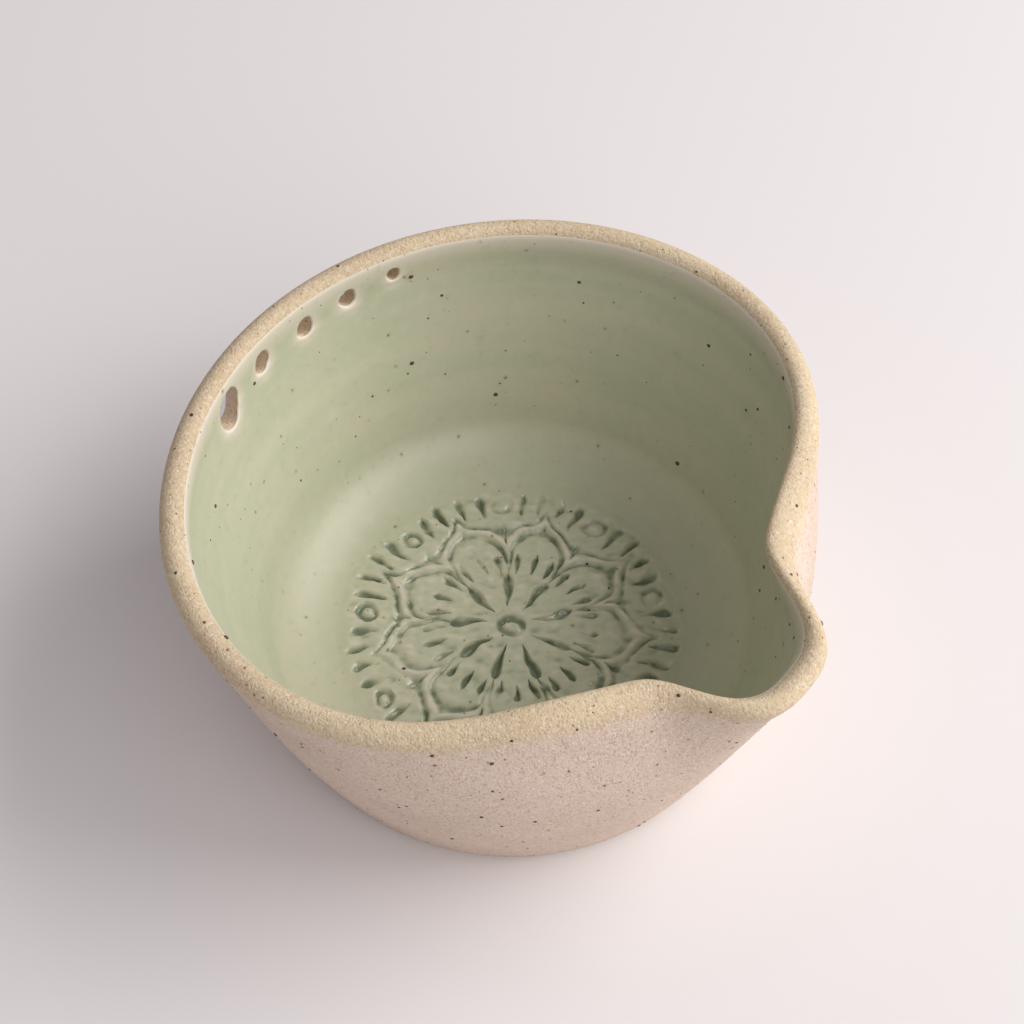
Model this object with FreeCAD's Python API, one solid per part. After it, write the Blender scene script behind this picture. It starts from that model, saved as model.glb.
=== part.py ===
"""A hand-thrown stoneware grinding bowl: a small mortar with a pinched pouring spout.

The bowl is thrown round, and its rim is then altered by hand: two fingers press a throat in
on each side of the spout, and a third draws the lip out between them. Five round holes, each
smaller than the last, go through the wall opposite the spout, for pulling herb stems through.
The floor is stamped with a rosette of pressed drops, petal outlines and ringed dots, which
grates what is ground on it. The outside, the rim and the foot are bare clay. A liner glaze
covers the inside, from just under the rim across the floor and down into the stamped marks.

Frame: millimetres, +Z up, +X towards the spout, origin at the middle of the foot on the table.
"""

import FreeCAD, Part
import math
import os

Vector = FreeCAD.Vector
upwards = Vector(0.0, 0.0, 1.0)

# Overall sizes of the bowl as thrown, before the rim is altered.
height = 60.5            # table to the top of the rim
rim_radius = 61.9        # inside the rim
foot_radius = 50.0       # widest part of the foot, just above its bevel
floor_height = 7.0       # table to the glazed floor
floor_radius = 36.5      # flat part of the floor

# Clay wall, foot and glaze.
rim_thickness = 5.1      # the rolled rim is thicker than the wall just under it
top_wall_thickness = 3.6
foot_wall_thickness = 6.6
glaze_thickness = 0.4
glaze_edge_thickness = 0.12
glaze_line_drop = 1.6    # rim top to the upper edge of the glaze
wall_belly = 1.3         # how far the outside swells from a straight taper
floor_curve = 9.0        # height of the curve from the floor into the wall
foot_bevel = 1.6         # the foot is flat underneath, as the wire cut it, with this bevel

# Alteration of the rim. Angles are degrees from the spout, about +Z.
lip_reach = 15.4
lip_half_width = 12.1
lip_squareness = 3.3
throat_depth = 13.1
left_throat_angle, left_throat_width = 30.4, 23.8
right_throat_angle, right_throat_width = -37.5, 28.9
throat_rise, throat_rise_width = 1.6, 14.0
rim_offset = 0.7         # the rim's middle leans this far towards the spout
rim_oval = -1.4          # and the rim is this much narrower along the spout
rim_tilt = 0.6           # left side of the rim higher than the right by twice this
alteration_power = 3.0   # how fast the alteration fades down the wall
alteration_start = 8.0   # height below which the wall is still round

# Herb holes, from the largest to the smallest.
hole_diameters = (8.3, 4.8, 4.4, 4.1, 3.0)
hole_angles = (200.5, 188.5, 176.5, 166.0, 155.7)
hole_drops = (8.3, 7.2, 7.7, 7.0, 5.8)    # rim top to the middle of each hole
hole_tilt = 12.0         # the holes are square to the leaning wall

# Stamped rosette. Its sizes are as drawn, for a floor of radius drawn_floor_radius, and they
# grow and shrink with the floor. A drop is (inner end, outer end, width), from the middle.
drawn_floor_radius = 36.5
petal_count = 9
stamp_turn = 16.0        # degrees from the spout to one of the ringed dots
ring_drops_per_petal = 3
centre_drop = (5.6, 13.0, 2.7)
ring_drop = (14.2, 18.6, 2.1)
tip_drop = (28.8, 34.9, 2.2)
side_drop = (27.2, 32.6, 2.2)
tip_drop_spread = 4.6    # degrees each side of a petal's tip
side_drop_spread = 12.2
petal_tip, petal_shoulder, petal_valley = 27.6, 24.0, 19.4
petal_half_width = 7.3   # at the shoulder
petal_groove = 1.1       # width of the groove that outlines a petal
eye_circle = 31.0        # the ringed dots stand on this radius
eye_radius, eye_groove = 1.7, 1.1
centre_ring_radius, centre_groove = 2.1, 1.5
stamp_lift = 0.25        # the marks are round in section, about lines this far above the floor

points_around = 72       # points that each ring of the altered wall is drawn through
past_wall = 5.0          # how far a hole's cutter reaches past the wall on each side


def angle_gap(angle, other):
    """Degrees from other to angle, between -180 and 180."""
    return (angle - other + 180.0) % 360.0 - 180.0


def bump(angle, middle, half_width, power=2.0):
    return math.exp(-0.5 * abs(angle_gap(angle, middle) / half_width) ** power)


def rim_shift(angle):
    """How far the alteration moves the rim outwards at this angle from the spout."""
    turn = math.radians(angle)
    lip = lip_reach * bump(angle, 0.0, lip_half_width, lip_squareness)
    left = throat_depth * bump(angle, left_throat_angle, left_throat_width)
    right = throat_depth * bump(angle, right_throat_angle, right_throat_width)
    return lip - left - right + rim_offset * math.cos(turn) + rim_oval * math.cos(2.0 * turn)


def rim_rise(angle):
    """How far the alteration lifts the rim at this angle from the spout."""
    left = bump(angle, left_throat_angle, throat_rise_width)
    right = bump(angle, right_throat_angle, throat_rise_width)
    return throat_rise * (left + right) + rim_tilt * math.sin(math.radians(angle))


def alteration_share(z):
    """Share of the rim's alteration that reaches height z."""
    share = (z - alteration_start) / (height - alteration_start)
    return min(max(share, 0.0), 1.0) ** alteration_power


def altered(radius, z, angle):
    """The point of the finished bowl that was at this radius and height as thrown."""
    share = alteration_share(z)
    reach = radius + rim_shift(angle) * share
    turn = math.radians(angle)
    return Vector(reach * math.cos(turn), reach * math.sin(turn), z + rim_rise(angle) * share)


def outer_radius(z):
    """Outside of the thrown wall: a taper from the foot to the rim, with a slight belly."""
    share = z / height
    taper = foot_radius + (rim_radius + rim_thickness - foot_radius) * share
    return taper + wall_belly * math.sin(math.pi * share)


def wall_at(z):
    """Thickness of the wall at height z: thickest low down, thinnest just under the rim."""
    return foot_wall_thickness + (top_wall_thickness - foot_wall_thickness) * z / height


def outer_profile():
    """(radius, height) up the outside from the foot's flat, over the rim to the glaze line."""
    half = rim_thickness / 2.0
    rim_middle = rim_radius + half
    rim_level = height - half
    points = [(foot_radius - foot_bevel, 0.0)]
    points.append((foot_radius - foot_bevel * 0.3, foot_bevel * 0.5))
    for share in (0.045, 0.14, 0.27, 0.41, 0.55, 0.69, 0.82, 0.91):
        points.append((outer_radius(height * share), height * share))
    for turn in (10.0, 40.0, 70.0, 100.0, 130.0):
        step = math.radians(turn)
        points.append((rim_middle + half * math.cos(step), rim_level + half * math.sin(step)))
    points.append(glaze_line())
    return points


def glaze_line():
    """(radius, height) of the upper edge of the glaze, on the inside of the rounded rim."""
    half = rim_thickness / 2.0
    above_middle = half - glaze_line_drop
    inwards = math.sqrt(half * half - above_middle * above_middle)
    return rim_radius + half - inwards, height - glaze_line_drop


def inner_profile():
    """(radius, height) of the glaze's open surface, from the glaze line to the flat floor."""
    line_radius, line_height = glaze_line()
    points = [(line_radius - glaze_edge_thickness, line_height)]
    curve_top = floor_height + floor_curve
    curve_top_radius = outer_radius(curve_top) - wall_at(curve_top)
    for share in (0.93, 0.78, 0.60, 0.42):
        z = height * share
        points.append((outer_radius(z) - wall_at(z), z))
    for turn in (0.0, 25.0, 50.0, 72.0):
        step = math.radians(turn)
        points.append((floor_radius + (curve_top_radius - floor_radius) * math.cos(step),
                       curve_top - floor_curve * math.sin(step)))
    points.append((floor_radius, floor_height))
    return points


def under_glaze_profile():
    """(radius, height) of the clay under the glaze: the inner profile, one coat deeper."""
    inside = inner_profile()
    points = [glaze_line()]
    for before, here, after in zip(inside, inside[1:], inside[2:]):
        along_radius = after[0] - before[0]
        along_height = after[1] - before[1]
        length = math.hypot(along_radius, along_height)
        points.append((here[0] - glaze_thickness * along_height / length,
                       here[1] + glaze_thickness * along_radius / length))
    points.append((floor_radius, floor_height - glaze_thickness))
    return points


def skin(profile):
    """One smooth face, closed round the bowl, through the altered rings of a thrown profile."""
    around = [float(k) for k in range(points_around + 1)]
    ring_poles = []
    for radius, z in profile:
        ring = Part.BSplineCurve()
        angles = [360.0 * k / points_around for k in range(points_around)]
        ring.interpolate(Points=[altered(radius, z, angle) for angle in angles],
                         PeriodicFlag=True, Parameters=around)
        ring_poles.append(ring.getPoles())
    along = [0.0]
    for (r0, z0), (r1, z1) in zip(profile, profile[1:]):
        along.append(along[-1] + math.hypot(r1 - r0, z1 - z0))
    columns = []
    for column in zip(*ring_poles):
        rail = Part.BSplineCurve()
        rail.interpolate(Points=list(column), Parameters=along)
        columns.append(rail)
    surface = Part.BSplineSurface()
    surface.buildFromPolesMultsKnots(
        [rail.getPoles() for rail in columns], ring.getMultiplicities(),
        columns[0].getMultiplicities(), ring.getKnots(), columns[0].getKnots(),
        True, False, ring.Degree, columns[0].Degree)
    return surface.toShape()


def closed_edges(face):
    """The closed edges of a skin, lowest first."""
    return sorted((edge for edge in face.Edges if edge.isClosed()),
                  key=lambda edge: edge.CenterOfMass.z)


def disc(edge):
    return Part.Face(Part.Wire(edge))


def solid_of(faces):
    shell = Part.makeShell(faces)
    shell.sewShape()
    solid = Part.makeSolid(shell)
    if solid.Volume < 0.0:
        solid.reverse()
    return solid


def bowl_blanks():
    """The clay bowl and its coat of glaze, before the holes and the stamp."""
    outside = skin(outer_profile())
    under_glaze = skin(under_glaze_profile())
    open_glaze = skin(inner_profile())
    foot_edge = closed_edges(outside)[0]
    clay_floor, glaze_seat = closed_edges(under_glaze)
    open_floor, open_edge = closed_edges(open_glaze)
    clay = solid_of([outside, under_glaze, disc(foot_edge), disc(clay_floor)])
    glaze_edge = Part.makeRuledSurface(glaze_seat, open_edge)
    coat = solid_of([under_glaze, open_glaze, glaze_edge, disc(clay_floor), disc(open_floor)])
    return clay, coat


def herb_holes():
    """One cutter for each herb hole, square to the leaning wall and through it."""
    cutters = []
    for diameter, angle, drop in zip(hole_diameters, hole_angles, hole_drops):
        z = height - drop
        middle = altered(outer_radius(z) - wall_at(z) / 2.0, z, angle)
        turn, tilt = math.radians(angle), math.radians(hole_tilt)
        outwards = Vector(math.cos(turn) * math.cos(tilt), math.sin(turn) * math.cos(tilt),
                          -math.sin(tilt))
        reach = wall_at(z) / 2.0 + past_wall
        cutters.append(Part.makeCylinder(diameter / 2.0, 2.0 * reach,
                                         middle - outwards * reach, outwards))
    return cutters


def drawn(size):
    """A size of the rosette as it is drawn, made to suit this floor."""
    return size * floor_radius / drawn_floor_radius


def on_stamp(radius, angle):
    """A point on the rosette, on the lines about which its marks are round."""
    turn = math.radians(angle)
    return Vector(radius * math.cos(turn), radius * math.sin(turn), floor_height + stamp_lift)


def pressed_drop(drop, angle, grow):
    """A drop lying in the floor: a point at its inner end, growing to a round outer end."""
    inner_end, outer_end, width = (drawn(size) for size in drop)
    middle = outer_end - width / 2.0
    lean = math.asin(width / 2.0 / (middle - inner_end))
    reach = width / 2.0 + grow
    point = on_stamp(inner_end - grow / math.sin(lean), angle)
    end = on_stamp(middle + reach, angle)
    half_way = (math.pi / 2.0 - lean) / 2.0
    shoulder = on_stamp(middle - reach * math.sin(lean), angle) - upwards * reach * math.cos(lean)
    belly = (on_stamp(middle + reach * math.sin(half_way), angle)
             - upwards * reach * math.cos(half_way))
    outline = Part.Wire([Part.makeLine(point, shoulder),
                         Part.Arc(shoulder, belly, end).toShape(),
                         Part.makeLine(end, point)])
    return Part.Face(outline).revolve(point, end - point, 360.0)


def petal_side(angle, side, grow):
    """The groove up one side of a petal: an arc from the valley beside it to its tip."""
    shoulder_turn = side * math.degrees(petal_half_width / petal_shoulder)
    arc = Part.Arc(on_stamp(drawn(petal_valley), angle + side * 180.0 / petal_count),
                   on_stamp(drawn(petal_shoulder), angle + shoulder_turn),
                   on_stamp(drawn(petal_tip), angle)).toShape()
    section = Part.makeCircle(drawn(petal_groove) / 2.0 + grow, arc.valueAt(arc.FirstParameter),
                              arc.tangentAt(arc.FirstParameter))
    return Part.Wire(arc).makePipeShell([Part.Wire(section)], True, True)


def pressed_ring(middle, radius, groove, grow):
    return Part.makeTorus(drawn(radius), drawn(groove) / 2.0 + grow, middle, upwards)


def stamp(grow):
    """The marks that the stamp presses into the floor, each grown by this much.

    They are in rows, and the marks in one row never touch each other.
    """
    valleys = [stamp_turn + 360.0 * k / petal_count for k in range(petal_count)]
    petals = [angle + 180.0 / petal_count for angle in valleys]
    ring_drop_count = petal_count * ring_drops_per_petal
    small_drops = [valleys[0] + 360.0 * (k + 0.5) / ring_drop_count for k in range(ring_drop_count)]
    rows = [[pressed_ring(on_stamp(0.0, 0.0), centre_ring_radius, centre_groove, grow)],
            [pressed_drop(centre_drop, angle, grow) for angle in valleys],
            [pressed_drop(ring_drop, angle, grow) for angle in small_drops],
            [pressed_ring(on_stamp(drawn(eye_circle), angle), eye_radius, eye_groove, grow)
             for angle in valleys]]
    for side in (-1.0, 1.0):
        rows.append([petal_side(angle, side, grow) for angle in petals])
        rows.append([pressed_drop(tip_drop, angle + side * tip_drop_spread, grow)
                     for angle in petals])
        rows.append([pressed_drop(side_drop, angle + side * side_drop_spread, grow)
                     for angle in petals])
    return rows


def stamped_glaze():
    """The glaze over the stamped part of the floor, where it also lines the marks."""
    outermost = drawn(tip_drop[1]) + glaze_thickness
    radius = (outermost + floor_radius) / 2.0
    clay_top = floor_height - glaze_thickness
    clay_floor = Part.makeCylinder(foot_radius, clay_top)
    for row in stamp(glaze_thickness):
        clay_floor = clay_floor.cut(row)
    deep = clay_top / 2.0
    glaze = Part.makeCylinder(radius, floor_height - deep, upwards * deep).cut(clay_floor)
    for row in stamp(0.0):
        glaze = glaze.cut(row)
    return radius, glaze


def main():
    """Press the stamp into the clay, coat it with glaze, and cut the holes through both."""
    os.makedirs("parts", exist_ok=True)
    clay, coat = bowl_blanks()
    for row in stamp(glaze_thickness):
        clay = clay.cut(row)
    stamped_radius, floor_glaze = stamped_glaze()
    glaze = coat.cut(Part.makeCylinder(stamped_radius, height)).fuse(floor_glaze)
    holes = herb_holes()
    for name, shape in (("clay_body", clay.cut(holes)), ("glaze_lining", glaze.cut(holes))):
        shape.exportStep("parts/" + name + ".step")
        print(name, shape.isValid(), len(shape.Solids), round(shape.Volume))


main()
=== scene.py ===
import math

import bpy
import numpy as np
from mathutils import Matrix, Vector


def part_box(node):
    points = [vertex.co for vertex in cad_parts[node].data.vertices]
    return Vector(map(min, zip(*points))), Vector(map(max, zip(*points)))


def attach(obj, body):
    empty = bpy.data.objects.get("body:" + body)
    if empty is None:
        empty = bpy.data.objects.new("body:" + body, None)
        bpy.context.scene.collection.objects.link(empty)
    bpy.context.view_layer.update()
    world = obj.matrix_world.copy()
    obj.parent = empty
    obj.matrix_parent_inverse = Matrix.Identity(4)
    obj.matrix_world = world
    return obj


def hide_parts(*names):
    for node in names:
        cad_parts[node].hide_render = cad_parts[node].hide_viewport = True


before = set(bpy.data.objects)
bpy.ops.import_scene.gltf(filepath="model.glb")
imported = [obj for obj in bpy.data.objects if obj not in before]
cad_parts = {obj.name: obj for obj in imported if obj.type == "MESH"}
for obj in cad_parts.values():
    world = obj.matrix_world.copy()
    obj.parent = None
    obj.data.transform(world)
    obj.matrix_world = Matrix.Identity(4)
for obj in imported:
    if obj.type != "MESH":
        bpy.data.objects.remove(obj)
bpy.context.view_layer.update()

# ---------------------------------------------------------------------------------------------
# The thrown wall: one lump of stoneware thrown round on the wheel. The clay and its glaze both
# follow it. Sizes are millimetres, heights are from the table, and the mesh rings all have the
# same number of points, so that the pieces meet point to point.

mm = 0.001
clay_low, clay_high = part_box("clay_body")
throat_rise, rim_tilt = 1.6, 0.6
height = (clay_high[2] - clay_low[2]) / mm - throat_rise - rim_tilt / 2.0
foot_radius, foot_bevel = 50.0, 1.6
rim_radius, rim_thickness = 61.9, 5.1
top_wall_thickness, foot_wall_thickness = 3.6, 6.6
wall_belly = 1.3
floor_height, floor_radius, floor_curve = 7.0, 36.5, 9.0
curve_top = floor_height + floor_curve
curve_squareness = 1.3
glaze_thickness, glaze_edge_thickness, glaze_line_drop = 0.4, 0.12, 1.2
half_rim = rim_thickness / 2.0
rim_middle, rim_level = rim_radius + half_rim, height - half_rim
line_height = height - glaze_line_drop
ring_spacing = 1.25
around = 450
turns = np.arange(around) * 2.0 * math.pi / around


def eased(share):
    """A soft step from nought to one."""
    share = np.clip(share, 0.0, 1.0)
    return share * share * (3.0 - 2.0 * share)


def rolled(z):
    """How far the roll of the rim has begun at this height."""
    return eased((z - (rim_level - 6.5)) / 6.5)


def outer_radius(z):
    """Outside of the thrown wall: a taper with a slight belly, out to the rolled rim."""
    share = z / height
    taper = foot_radius + (rim_radius + rim_thickness - foot_radius) * share
    return taper + wall_belly * np.sin(math.pi * share) + 0.5 * rolled(z)


def wall_at(z):
    """Thickness of the wall, which is thinnest just under the rolled rim."""
    taper = foot_wall_thickness + (top_wall_thickness - foot_wall_thickness) * z / height
    return taper + 1.45 * rolled(z)


def inner_radius(z):
    """Inside of the thrown wall, above the curve up from the floor."""
    return outer_radius(z) - wall_at(z)


def hand_wobble(z, turn, amount):
    """How far the potter's hands leave the wall from true, with the spiral that fingers leave."""
    slow = (0.55 * np.sin(2.0 * turn + 0.7 + 0.03 * z) + 0.35 * np.sin(3.0 * turn + 2.1 - 0.05 * z)
            + 0.20 * np.sin(5.0 * turn + 4.0 + 0.11 * z))
    pitch = 5.4 + 0.8 * np.sin(0.13 * z)
    fingers = 0.30 * np.sin(2.0 * math.pi * z / pitch + turn) * np.sin(1.5 * turn + 0.21 * z)
    return amount * (slow + fingers)


def rim_wobble(turn):
    """The outside and the inside run into each other at the rim, so they share its wobble."""
    return hand_wobble(height, turn, 0.20)


def outer_skin(z, turn):
    """The outside of the clay, which is true where it was cut from the wheel."""
    wobble = hand_wobble(z, turn, 0.20) * np.clip(z / 6.0, 0.0, 1.0)
    return outer_radius(z) + wobble + (rim_wobble(turn) - wobble) * rolled(z)


def glaze_skin(z, turn):
    """The open surface of the glaze on the wall."""
    wobble = hand_wobble(1.3 * z, turn + 1.0, 0.26) * np.clip((z - curve_top) / 8.0, 0.0, 1.0)
    return inner_radius(z) + wobble + (rim_wobble(turn) - wobble) * rolled(z)


def under_glaze_skin(z, turn):
    """The clay under the glaze, which thins to its edge near the rim."""
    thin = np.clip((line_height - z) / 5.0, 0.0, 1.0)
    coat = glaze_edge_thickness + (glaze_thickness - glaze_edge_thickness) * thin
    return glaze_skin(z, turn) + coat


def ring_of(radius, z):
    """One ring of points round the axis. Radius and z may be numbers, or vary round the ring."""
    radius, z = np.broadcast_arrays(radius, z, turns)[:2]
    return np.stack([radius * np.cos(turns), radius * np.sin(turns), z], axis=1)


# ---------------------------------------------------------------------------------------------
# The stamped floor: a fired-clay stamp with nine petals, pressed by hand into the soft floor.
# Wedges, petal outlines and ringed dots grate what is ground on them. One petal is drawn and
# repeated, and each is then pressed unevenly, as a stamp rocked by hand leaves it.

petal_count = 9
half_petal = math.pi / petal_count
stamp_turn = math.radians(16.0)
petal_tip, petal_shoulder, petal_valley = 28.0, 24.9, 18.2
eye_circle, eye_radius = 31.1, 1.75
stamp_edge = 35.2
deepest_mark, highest_ridge = 1.55, 0.45

# The wedges on half a petal: the angle off its axis, inner and outer ends, width and depth.
petal_wedges = ((half_petal, 4.9, 13.4, 3.5, 1.35), (0.0, 14.0, 18.6, 2.5, 1.1),
                (half_petal * 2.0 / 3.0, 13.7, 18.3, 2.5, 1.1),
                (math.radians(4.3), 28.9, stamp_edge, 3.1, 1.2),
                (math.radians(11.9), 27.6, stamp_edge - 1.1, 3.1, 1.15))


def unevenness(x, y, size, seed):
    """Soft lumps about this many millimetres long, between about -1 and 1."""
    chance = np.random.default_rng(seed)
    total = 0.0
    for heading, phase in zip(chance.uniform(0.0, 2.0 * math.pi, 9), chance.uniform(0.0, 6.28, 9)):
        wave = 2.0 * math.pi / (size * chance.uniform(0.7, 1.5))
        total = total + np.sin(wave * (x * math.cos(heading) + y * math.sin(heading)) + phase)
    return total / 3.6


def wedge(along, across, inner_end, outer_end, width, depth):
    """A gouge with a sharp bottom: a point at its inner end, widest near its outer end."""
    share = np.clip((along - inner_end) / (outer_end - inner_end), 0.0, 1.0)
    half_width = 0.5 * width * share ** 0.8 * (1.0 - share ** 9)
    inside = 1.0 - np.abs(across) / np.maximum(half_width, 0.05)
    inside = np.where((along > inner_end) & (along < outer_end), inside, 0.0)
    return depth * np.clip(inside, 0.0, 1.0) ** 0.8 * np.minimum(1.0, 0.45 + 1.1 * share)


def groove(distance, half_width, depth):
    """Depth of a rounded trough, at this distance from its middle line."""
    return depth * np.clip(1.0 - (distance / half_width) ** 2, 0.0, 1.0) ** 0.8


def bead(distance, half_width, rise):
    """Height of a raised line with a flat top, at this distance from its middle line."""
    return rise * np.exp(-(distance / half_width) ** 4)


def petal_edge(share):
    """Radius of a petal's outline at this share of the way from its tip to the valley."""
    dome = np.sqrt(np.clip(1.0 - share ** 2.4, 0.0, 1.0))
    point = np.exp(-share / 0.18)
    return (petal_valley + (petal_shoulder - petal_valley) * dome
            + (petal_tip - petal_shoulder) * point)


def stamped(radius, turn):
    """Depth pressed into the floor there, and how far glaze pools: 0 on ridges, 1 in marks."""
    x, y = radius * np.cos(turn), radius * np.sin(turn)
    x, y = (x + 0.42 * unevenness(x, y, 17.0, 1) + 0.26 * unevenness(x, y, 6.0, 2),
            y + 0.42 * unevenness(x, y, 17.0, 3) + 0.26 * unevenness(x, y, 6.0, 4))
    radius, turn = np.hypot(x, y), np.arctan2(y, x)
    off_axis = np.abs(np.mod(turn - stamp_turn, 2.0 * half_petal) - half_petal)
    share = off_axis / half_petal

    def turned(angle):
        return radius * np.cos(off_axis - angle), radius * np.sin(off_axis - angle)

    marks = sum(wedge(*turned(angle), *sizes) for angle, *sizes in petal_wedges)

    step = 0.01
    slope = (petal_edge(share + step) - petal_edge(np.maximum(share - step, 0.0))) / step / 2.0
    slope = np.clip(slope / half_petal / np.maximum(radius, 1.0), -2.6, 2.6)
    from_edge = (radius - petal_edge(share)) / np.sqrt(1.0 + slope ** 2)

    # Each petal has a groove on either side of its raised outline, and a fainter one inside it.
    marks += groove(from_edge - 1.25, 0.60, 0.60)
    marks += groove(from_edge + 1.30, 0.80, 0.62)
    ridges = bead(from_edge, 0.80, 0.32)
    inside = np.clip((radius - petal_valley - 1.5) / 1.5, 0.0, 1.0)
    ridges += bead(from_edge + 3.6, 0.7, 0.14) * inside
    marks += groove(from_edge + 4.7, 0.60, 0.42) * inside * np.clip(1.4 - 1.2 * share, 0.0, 1.0)
    along, across = turned(0.0)
    ridges += bead(np.hypot(along - 21.9, across), 1.0, 0.22)

    # A ringed dot sits between the tips of two petals, and another in the very middle.
    along, across = turned(half_petal)
    from_eye = np.hypot(along - eye_circle, across)
    marks += groove(from_eye - eye_radius, 0.72, 0.66)
    ridges += bead(from_eye, 1.0, 0.22) + bead(from_eye - eye_radius - 1.0, 0.4, 0.08)
    marks += wedge(along, across, 20.8, 26.4, 1.7, 0.40)
    marks += groove(radius - 2.15, 0.85, 0.95)
    ridges += bead(radius - 3.35, 0.5, 0.12)
    marks += 0.45 * np.exp(-(radius / 0.5) ** 2)

    firmness = 1.0 + 0.30 * unevenness(x, y, 24.0, 5) + 0.26 * unevenness(x, y, 7.0, 6)
    lumps = 0.13 * unevenness(x, y, 5.0, 7) + 0.09 * unevenness(x, y, 2.4, 8)
    within = eased((stamp_edge + 1.2 - radius) / 2.6)
    outside = 0.05 * unevenness(x, y, 6.0, 9) * eased((floor_radius - radius) / 1.0)
    pressed = (np.minimum(marks, 1.35) * firmness - ridges * firmness - lumps) * within - outside
    pooled = 0.52 * marks * firmness - 0.75 * ridges - 1.1 * lumps
    pooled = 0.5 + within * np.clip(pooled, -0.36, 0.5)
    return np.clip(pressed, -highest_ridge, deepest_mark), pooled


floor_step = 0.45
floor_steps = np.arange(floor_step, stamp_edge + 1.1, floor_step)
floor_steps = np.concatenate([floor_steps, [floor_radius]])
floor_pressed, floor_pooled = stamped(floor_steps[:, None], turns[None, :])


def floor_rings(drop):
    """Rings of the stamped floor from its edge to its middle, this far below the glaze."""
    return [ring_of(radius, floor_height - drop - pressed)
            for radius, pressed in zip(floor_steps[::-1], floor_pressed[::-1])]


def floor_middle(drop):
    pressed, pooled = stamped(np.array(0.001), np.array(0.0))
    return [0.0, 0.0, floor_height - drop - float(pressed)]


def curve_rings(drop):
    """Rings of the curve from the wall's foot down to the floor's edge."""
    reach = inner_radius(curve_top) - floor_radius
    rings = []
    for turn in np.radians(90.0 - 82.0 * np.linspace(1.0, 0.0, 13)[:-1] ** 1.5):
        outwards, downwards = math.cos(turn), math.sin(turn)
        radius = floor_radius + reach * outwards ** curve_squareness + drop * outwards
        z = curve_top - floor_curve * downwards ** curve_squareness - drop * downwards
        rings.append(ring_of(radius, z))
    return rings


# ---------------------------------------------------------------------------------------------
# The herb holes: cut with a hole cutter at the leather-hard stage, from large to small, and
# wiped round with a sponge. Stems are pulled through them to strip the leaves.

hole_tilt = math.radians(12.0)
hole_lip, glaze_lip = 0.6, 0.42

# Each hole's diameter, degrees from the spout and drop from the rim, then how far it is
# stretched out of round, and how far round the bowl its outer end is set.
hole_sizes = ((8.3, 200.5, 8.3, 0.13, -1.5), (4.8, 188.5, 7.2, 0.12, 0.0),
              (4.4, 176.5, 7.7, 0.07, 0.0), (4.1, 166.0, 7.0, 0.03, 0.0),
              (3.0, 155.7, 5.8, 0.04, 0.0))
holes = [(diameter / 2.0, math.radians(turn), height - drop, stretch, slant)
         for diameter, turn, drop, stretch, slant in hole_sizes]


def hole_reach(hole, bearing):
    """Distance from the hole's middle to its edge, which isn't quite round."""
    radius, turn, z, stretch, slant = hole
    lumps = 0.04 * np.sin(3.0 * bearing + 7.0 * turn) + 0.02 * np.sin(5.0 * bearing + 3.0 * turn)
    return radius * (1.0 - stretch * np.cos(2.0 * bearing - 0.5) + lumps)


def hole_block(hole, levels):
    """Cells of the wall's mesh to take out for a hole, as (low ring, high ring, first, last)."""
    radius, turn, z, stretch, slant = hole
    half = radius * (1.0 + stretch) + 1.2
    rings = 2 * math.ceil(half / ring_spacing)
    middle = int(round((z - levels[0]) / (levels[1] - levels[0])))
    low = min(middle - rings // 2, len(levels) - 1 - rings)
    step = 2.0 * math.pi / around
    column = int(round(turn / step))
    columns = math.ceil(half / inner_radius(z) / step)
    return low, low + rings, column - columns, column + columns


def block_edge(block):
    """The (ring, column) points round a block, in order."""
    low, high, first, last = block
    climb = 1 if high > low else -1
    return ([(low, i) for i in range(first, last)] + [(j, last) for j in range(low, high, climb)]
            + [(high, i) for i in range(last, first, -1)]
            + [(j, first) for j in range(high, low, -climb)])


def on_skin(skin, turn, z):
    radius = skin(z, turn)
    return np.stack([radius * np.cos(turn), radius * np.sin(turn), z], axis=1)


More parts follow.
